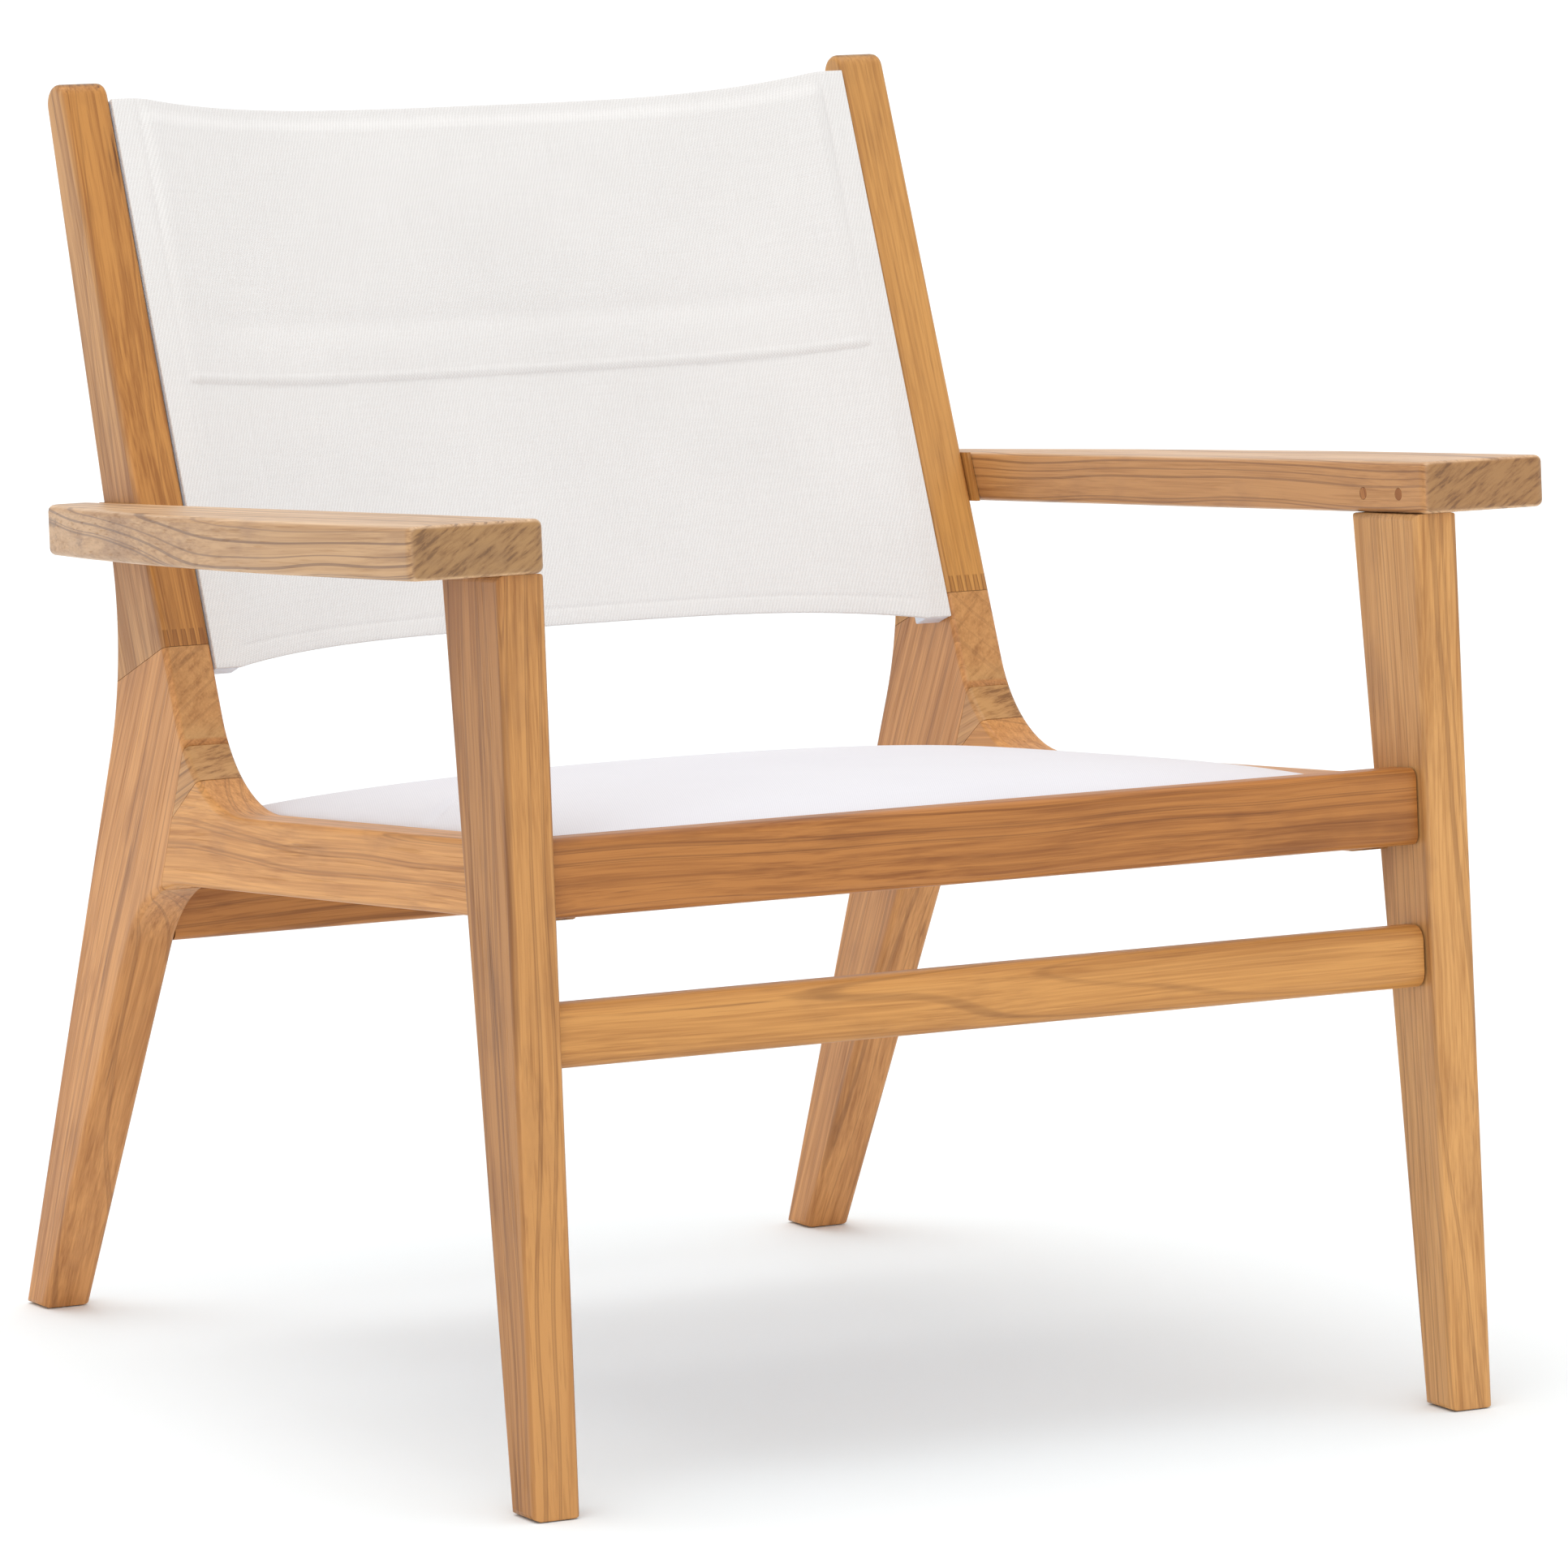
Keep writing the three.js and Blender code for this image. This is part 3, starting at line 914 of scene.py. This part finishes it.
@dataclass
class BackSling:
    """The stretched sling between the back posts, sewn with a hem and one seam.

    Lengths are in metres, and places are measured up from the sling's lower edge.
    """

    rake: float = math.atan(0.4104)
    proud: float = 0.0017
    hollow: float = 0.021
    hollow_power: float = 3.6
    thick: float = 0.0026
    rim: float = 0.0011
    sleeve: float = 0.017
    sleeve_fade: float = 0.004
    sleeve_line: Bead = Bead(0.0, 0.0022, 0.0007)
    top_dip: float = 0.007
    bottom_rise: float = 0.017
    seam: float = 0.177
    seam_step: float = 0.0006
    seam_run: float = 0.0010
    seam_groove: Bead = Bead(-0.0016, 0.0014, -0.0005)
    seam_ridge: Bead = Bead(0.0026, 0.0014, 0.0004)
    crease: float = 0.213
    valley: Bead = Bead(0.0, 0.008, -0.0007)
    panel_lift: float = 0.0014
    panel_power: float = 0.8
    band_lift: float = 0.0007
    hem: float = 0.016
    hem_start: float = 0.005
    hem_lift: float = 0.0030
    hem_fade: float = 0.10
    low_hem: Bead = Bead(0.012, 0.0016, -0.0004)
    rise: Vector = field(init=False)
    rear: Vector = field(init=False)
    base: Vector = field(init=False)
    half: float = field(init=False)
    length: float = field(init=False)

    def build(self, effects: Effects, finish: Cloth) -> None:
        """Args:
            effects: the shared node groups.
            finish: the sling's cloth.
        """
        self.measure()
        sewn = (self.low_hem.place, self.seam, self.length - self.hem)
        up = stops(self.length, coarse=0.0036, fine=0.0008, places=sewn, reach=0.006)
        half_across = stops(self.half, coarse=0.0048, fine=0.0011,
                            places=(self.half - self.sleeve,), reach=0.006)
        across = [-place for place in reversed(half_across[1:])] + half_across
        bpy.ops.object.select_all(action="DESELECT")
        bpy.ops.mesh.primitive_grid_add(x_subdivisions=len(across) - 1, y_subdivisions=len(up) - 1,
                                        size=2)
        obj = bpy.context.active_object
        obj.name = "Back_Sling"
        obj.data.uv_layers.active.name = "Cloth"
        flat = []
        for vertex in obj.data.vertices:
            column = round((vertex.co.x + 1) / 2 * (len(across) - 1))
            row = round((vertex.co.y + 1) / 2 * (len(up) - 1))
            flat.append((across[column], up[row]))
        for loop in obj.data.loops:
            obj.data.uv_layers["Cloth"].data[loop.index].uv = flat[loop.vertex_index]
        for vertex, (x, height) in zip(obj.data.vertices, flat):
            vertex.co = self.point(x, height)
        self.thicken(obj)
        finish_piece(obj, finish.material(effects, "Sling_Cloth"), ("back_sling",))

    def measure(self) -> None:
        """Takes the sling's width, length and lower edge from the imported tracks."""
        self.rise = Vector((0.0, math.sin(self.rake), math.cos(self.rake)))
        self.rear = Vector((0.0, math.cos(self.rake), -math.sin(self.rake)))
        corners = [vertex.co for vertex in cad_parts["back_track_right"].data.vertices]
        self.half = max(corner.x for corner in corners)
        low = min(corner.dot(self.rise) for corner in corners)
        self.length = max(corner.dot(self.rise) for corner in corners) - low
        front = min(corner.dot(self.rear) for corner in corners)
        self.base = self.rise * low + self.rear * (front - self.proud)

    def thicken(self, obj: Piece) -> None:
        """Gives the sling its two layers of cloth and a soft rim.

        Args:
            obj: the sling's middle layer.
        """
        solid = obj.modifiers.new("Layers", "SOLIDIFY")
        solid.thickness = self.thick
        solid.offset = 0.0
        apply(obj, solid)
        ease_edges(obj, self.rim, segments=2, degrees=60)
        bpy.ops.object.shade_smooth()

    def point(self, x: float, up: float) -> Vector:
        """Places one point of the sling's middle layer.

        Args:
            x: the distance from the chair's middle, in metres.
            up: the distance up the sling, in metres.

        Returns:
            The point in the chair's frame.
        """
        inner = self.half - self.sleeve
        sag = 1.0 - min(1.0, abs(x) / inner) ** self.hollow_power
        share = up / self.length
        height = up + sag * (self.bottom_rise * (1 - share) ** 3 - self.top_dip * share ** 3)
        edge = clamp((inner - abs(x)) / self.sleeve_fade)
        depth = self.hollow * sag - self.relief(height, up, sag, edge)
        depth += self.sleeve_line.lift(inner - abs(x))
        return self.base + Vector((x, 0.0, 0.0)) + self.rise * height + self.rear * depth

    def relief(self, height: float, up: float, sag: float, edge: float) -> float:
        """How far the padding and the sewing lift the sling forwards.

        Args:
            height: the distance up the sling in the chair's frame, in metres.
            up: the distance up the sling along its own cloth, in metres.
            sag: 0 at the fixed edges to 1 in the middle.
            edge: 0 on the sleeves along the tracks to 1 between them.

        Returns:
            The lift, in metres.
        """
        past_seam, past_crease = height - self.seam, height - self.crease
        sewn = self.seam_step * (clamp(past_seam / self.seam_run, -1.0) + 1.0)
        sewn += self.seam_groove.lift(past_seam) + self.seam_ridge.lift(past_seam)
        turn = clamp((self.length - up - self.hem_start) / (self.hem - self.hem_start))
        turned = self.hem_lift * turn * turn * (3 - 2 * turn)
        sewn += turned * clamp(past_crease / self.hem_fade) + self.low_hem.lift(up)
        padded = self.valley.lift(past_crease)
        panel = past_crease / (self.length - self.hem - self.crease)
        if 0.0 < panel < 1.0:
            padded += self.panel_lift * math.sin(math.pi * panel) ** self.panel_power
        band = past_seam / (self.crease - self.seam)
        if 0.0 < band < 1.0:
            padded += self.band_lift * math.sin(math.pi * band)
        return sewn * edge + padded * sag


# ---- the tracks


@dataclass
class Tracks:
    """A pair of plastic tracks that hold a sling's two edges."""

    node: str
    material: str
    edge: float = 0.0
    shading: float = 40.0

    def build(self) -> None:
        """Models and dresses both tracks."""
        material = Satin().material(self.material)
        for side in Side:
            node = f"{self.node}_{side.tag}"
            obj = cleaned_copy(node, node.title())
            if self.edge:
                ease_edges(obj, self.edge, segments=3, degrees=30)
            soften_shading(obj, self.shading)
            finish_piece(obj, material, (node,))


# ---- the seat


@dataclass
class SeatPad:
    """The padded sling seat, crowned over the side rails. Lengths are in metres."""

    crown: float = 0.0130
    side_power: float = 2.2
    end_power: float = 4.0
    rim: float = 0.012
    edge_drop: float = 0.001
    edge_round: float = 0.0025
    side_gap: float = 0.0008
    end_gap: float = 0.0004
    rail_height: float = 0.3652
    rail_slope: float = 0.084
    columns: int = 90
    rows: int = 80
    voxel: float = 0.005
    pressure: float = 4.0
    frames: int = 20
    most_swell: float = 0.006
    fold_start: tuple[float, float] = (0.010, 0.186)
    fold_run: Triple = (0.052, 0.066, 0.0)
    fold: Bead = Bead(0.0, 0.0035, -0.0032)
    low: Vector = field(init=False)
    high: Vector = field(init=False)
    half: float = field(init=False)
    reach: float = field(init=False)
    middle: float = field(init=False)

    def build(self, effects: Effects, finish: Cloth) -> None:
        """Args:
            effects: the shared node groups.
            finish: the pad's cloth.
        """
        self.low, self.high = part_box("seat_pad")
        self.half = (self.high.x - self.low.x) / 2 - self.side_gap
        self.reach = (self.high.y - self.low.y) / 2 - self.end_gap
        self.middle = (self.low.y + self.high.y) / 2
        obj = self.block()
        self.inflate(obj)
        self.smooth(obj)
        self.crease(obj)
        cloth = obj.data.uv_layers.get("UVMap") or obj.data.uv_layers.new(name="UVMap")
        cloth.name = "Cloth"
        for loop in obj.data.loops:
            cloth.data[loop.index].uv = obj.data.vertices[loop.vertex_index].co.xy
        finish_piece(obj, finish.material(effects, "Seat_Cloth"), ("seat_pad",))

    def block(self) -> Piece:
        """Models the pad's closed and crowned form.

        Returns:
            The pad, before its cloth is filled out.
        """
        bpy.ops.object.select_all(action="DESELECT")
        bpy.ops.mesh.primitive_grid_add(x_subdivisions=self.columns, y_subdivisions=self.rows,
                                        size=2)
        obj = bpy.context.active_object
        obj.name = "Seat_Pad"
        bpy.ops.object.mode_set(mode="EDIT")
        bpy.ops.mesh.select_all(action="SELECT")
        bpy.ops.mesh.extrude_region_move(TRANSFORM_OT_translate={"value": (0.0, 0.0, 1.0)})
        bpy.ops.mesh.select_all(action="SELECT")
        bpy.ops.mesh.normals_make_consistent(inside=False)
        bpy.ops.object.mode_set(mode="OBJECT")
        for vertex in obj.data.vertices:
            u, v, top = vertex.co.x, vertex.co.y, vertex.co.z > 0.5
            y = self.middle + v * self.reach
            rail = self.rail_top(y)
            crowned = rail - self.edge_drop + self.crown * self.swell(u, v)
            vertex.co = (u * self.half, y, crowned if top else rail - self.rim)
        ease_edges(obj, self.edge_round, segments=3, degrees=50)
        return obj

    def inflate(self, obj: Piece) -> None:
        """Fills the pad's cloth out under pressure, held at its edges.

        Args:
            obj: the pad.
        """
        grid = obj.modifiers.new("Even_Mesh", "REMESH")
        grid.mode = "VOXEL"
        grid.voxel_size = self.voxel
        apply(obj, grid)
        before = [vertex.co.copy() for vertex in obj.data.vertices]
        cloth = obj.modifiers.new("Fill", "CLOTH")
        cloth.settings.quality = 5
        cloth.settings.use_pressure = True
        cloth.settings.uniform_pressure_force = self.pressure
        cloth.settings.effector_weights.gravity = 0.0
        scene = bpy.context.scene
        for step in range(1, self.frames + 1):
            scene.frame_set(step)
        apply(obj, cloth)
        scene.frame_set(1)
        for vertex, start in zip(obj.data.vertices, before):
            move = vertex.co - start
            full = self.swell(start.x / self.half, (start.y - self.middle) / self.reach)
            share = full * min(1.0, self.most_swell / max(move.length, 1e-6))
            vertex.co = start + move * share
        levels = obj.modifiers.new("Finer", "SUBSURF")
        levels.levels = levels.render_levels = 1
        apply(obj, levels)

    def smooth(self, obj: Piece) -> None:
        """Evens out the pad's cloth.

        Args:
            obj: the pad.
        """
        even = obj.modifiers.new("Even_Cloth", "SMOOTH")
        even.factor = 0.5
        even.iterations = 4
        apply(obj, even)
        bpy.ops.object.shade_smooth()

    def crease(self, obj: Piece) -> None:
        """Presses in the short fold near the pad's front left corner.

        Args:
            obj: the pad.
        """
        start = Vector((self.low.x + self.fold_start[0], self.low.y + self.fold_start[1], 0.0))
        run = Vector(self.fold_run)
        for vertex in obj.data.vertices:
            if vertex.co.z < self.rail_top(vertex.co.y):
                continue
            offset = Vector((vertex.co.x, vertex.co.y, 0.0)) - start
            share = clamp(offset.dot(run) / run.length_squared)
            away = (offset - run * share).length
            vertex.co.z += self.fold.lift(away) * math.sin(math.pi * (0.1 + 0.8 * share))

    def swell(self, u: float, v: float) -> float:
        """How full the pad is, from 0 at its edges to 1 in the middle."""
        across = 1 - min(1.0, abs(u)) ** self.side_power
        along = 1 - min(1.0, abs(v)) ** self.end_power
        return math.sqrt(max(0.0, across * along))

    def rail_top(self, y: float) -> float:
        """The height of the side rails' top line at a place along them, in metres."""
        return self.rail_height - self.rail_slope * (y - self.low.y)


# ---- the studio


@dataclass
class Studio:
    """A plain pale floor, soft lights and the camera."""

    eye: Triple = (-2.82371, -4.98371, 1.15140)
    lens: float = 224.788
    azimuth: float = math.radians(-29.9373)
    elevation: float = math.radians(8.0242)
    surround: float = 0.87
    seen_white: float = 1.05
    floor_size: float = 60.0
    floor_drop: float = 0.0005

    def build(self) -> None:
        """Sets up the floor, the lights, the surroundings and the camera."""
        self.floor()
        self.surroundings()
        self.lights()
        self.camera()

    def floor(self) -> None:
        """Lays the floor."""
        bpy.ops.object.select_all(action="DESELECT")
        bpy.ops.mesh.primitive_plane_add(size=self.floor_size, location=(0, 0, -self.floor_drop))
        floor = bpy.context.active_object
        floor.name = "Studio_Floor"
        surface = start_material("Studio_Floor_Paint")[1]
        surface.inputs["Base Color"].default_value = (0.935, 0.972, 0.985, 1.0)
        surface.inputs["Roughness"].default_value = 0.95
        surface.inputs["Specular IOR Level"].default_value = 0.0
        floor.data.materials.append(bpy.data.materials["Studio_Floor_Paint"])

    def surroundings(self) -> None:
        """Surrounds the chair with even white light."""
        world = bpy.data.worlds.new("Studio_Surroundings")
        bpy.context.scene.world = world
        world.use_nodes = True
        graph = Graph(world.node_tree)
        backdrop = world.node_tree.nodes["Background"]
        backdrop.inputs["Color"].default_value = (1, 1, 1, 1)
        seen = graph.add("LightPath").outputs["Is Camera Ray"]
        graph.feed(backdrop.inputs["Strength"],
                   graph.math("MULTIPLY_ADD", seen, self.seen_white - self.surround,
                              self.surround))

    def lights(self) -> None:
        """Hangs a wide soft light overhead and a weaker one in front."""
        for name, strength, spread, aim in (
            ("Overhead", 0.95, 55.0, (0.10, -0.12, -1.0)),
            ("Front", 0.42, 60.0, (0.50, 0.7, -0.45)),
        ):
            data = bpy.data.lights.new(name, "SUN")
            data.energy = strength
            data.angle = math.radians(spread)
            lamp = bpy.data.objects.new(name, data)
            lamp.rotation_euler = Vector(aim).to_track_quat("-Z", "Y").to_euler()
            bpy.context.scene.collection.objects.link(lamp)

    def camera(self) -> None:
        """Sets up the camera."""
        data = bpy.data.cameras.new("View")
        data.lens = self.lens
        data.sensor_width = 36.0
        data.clip_end = 200.0
        eye = bpy.data.objects.new("View", data)
        eye.location = self.eye
        back = Vector((math.sin(self.azimuth) * math.cos(self.elevation),
                       -math.cos(self.azimuth) * math.cos(self.elevation),
                       math.sin(self.elevation)))
        eye.rotation_euler = (-back).to_track_quat("-Z", "Y").to_euler()
        bpy.context.scene.collection.objects.link(eye)
        bpy.context.scene.camera = eye
        bpy.context.scene.view_settings.view_transform = "Standard"


def main() -> None:
    """Builds the chair and its studio."""
    logging.basicConfig(level=logging.INFO, format="%(name)s %(message)s")
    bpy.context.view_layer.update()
    effects = Effects()
    TeakFrame().build(effects)
    Tracks("back_track", "Track_Plastic", edge=0.0012).build()
    sling_cloth = Cloth(thread=(0.860, 0.840, 0.822), gap=(0.52, 0.50, 0.485),
                        warp=0.0021, weft=0.0021, twill=0.6, slub=0.45, bump=0.45)
    BackSling().build(effects, sling_cloth)
    seat_cloth = Cloth(thread=(0.79, 0.785, 0.82), gap=(0.60, 0.585, 0.64),
                       warp=0.0014, weft=0.0030, twill=0.0, slub=0.25, bump=0.12)
    SeatPad().build(effects, seat_cloth)
    Tracks("seat_track", "Seat_Track_Plastic").build()
    Studio().build()


if __name__ == "__main__":
    main()
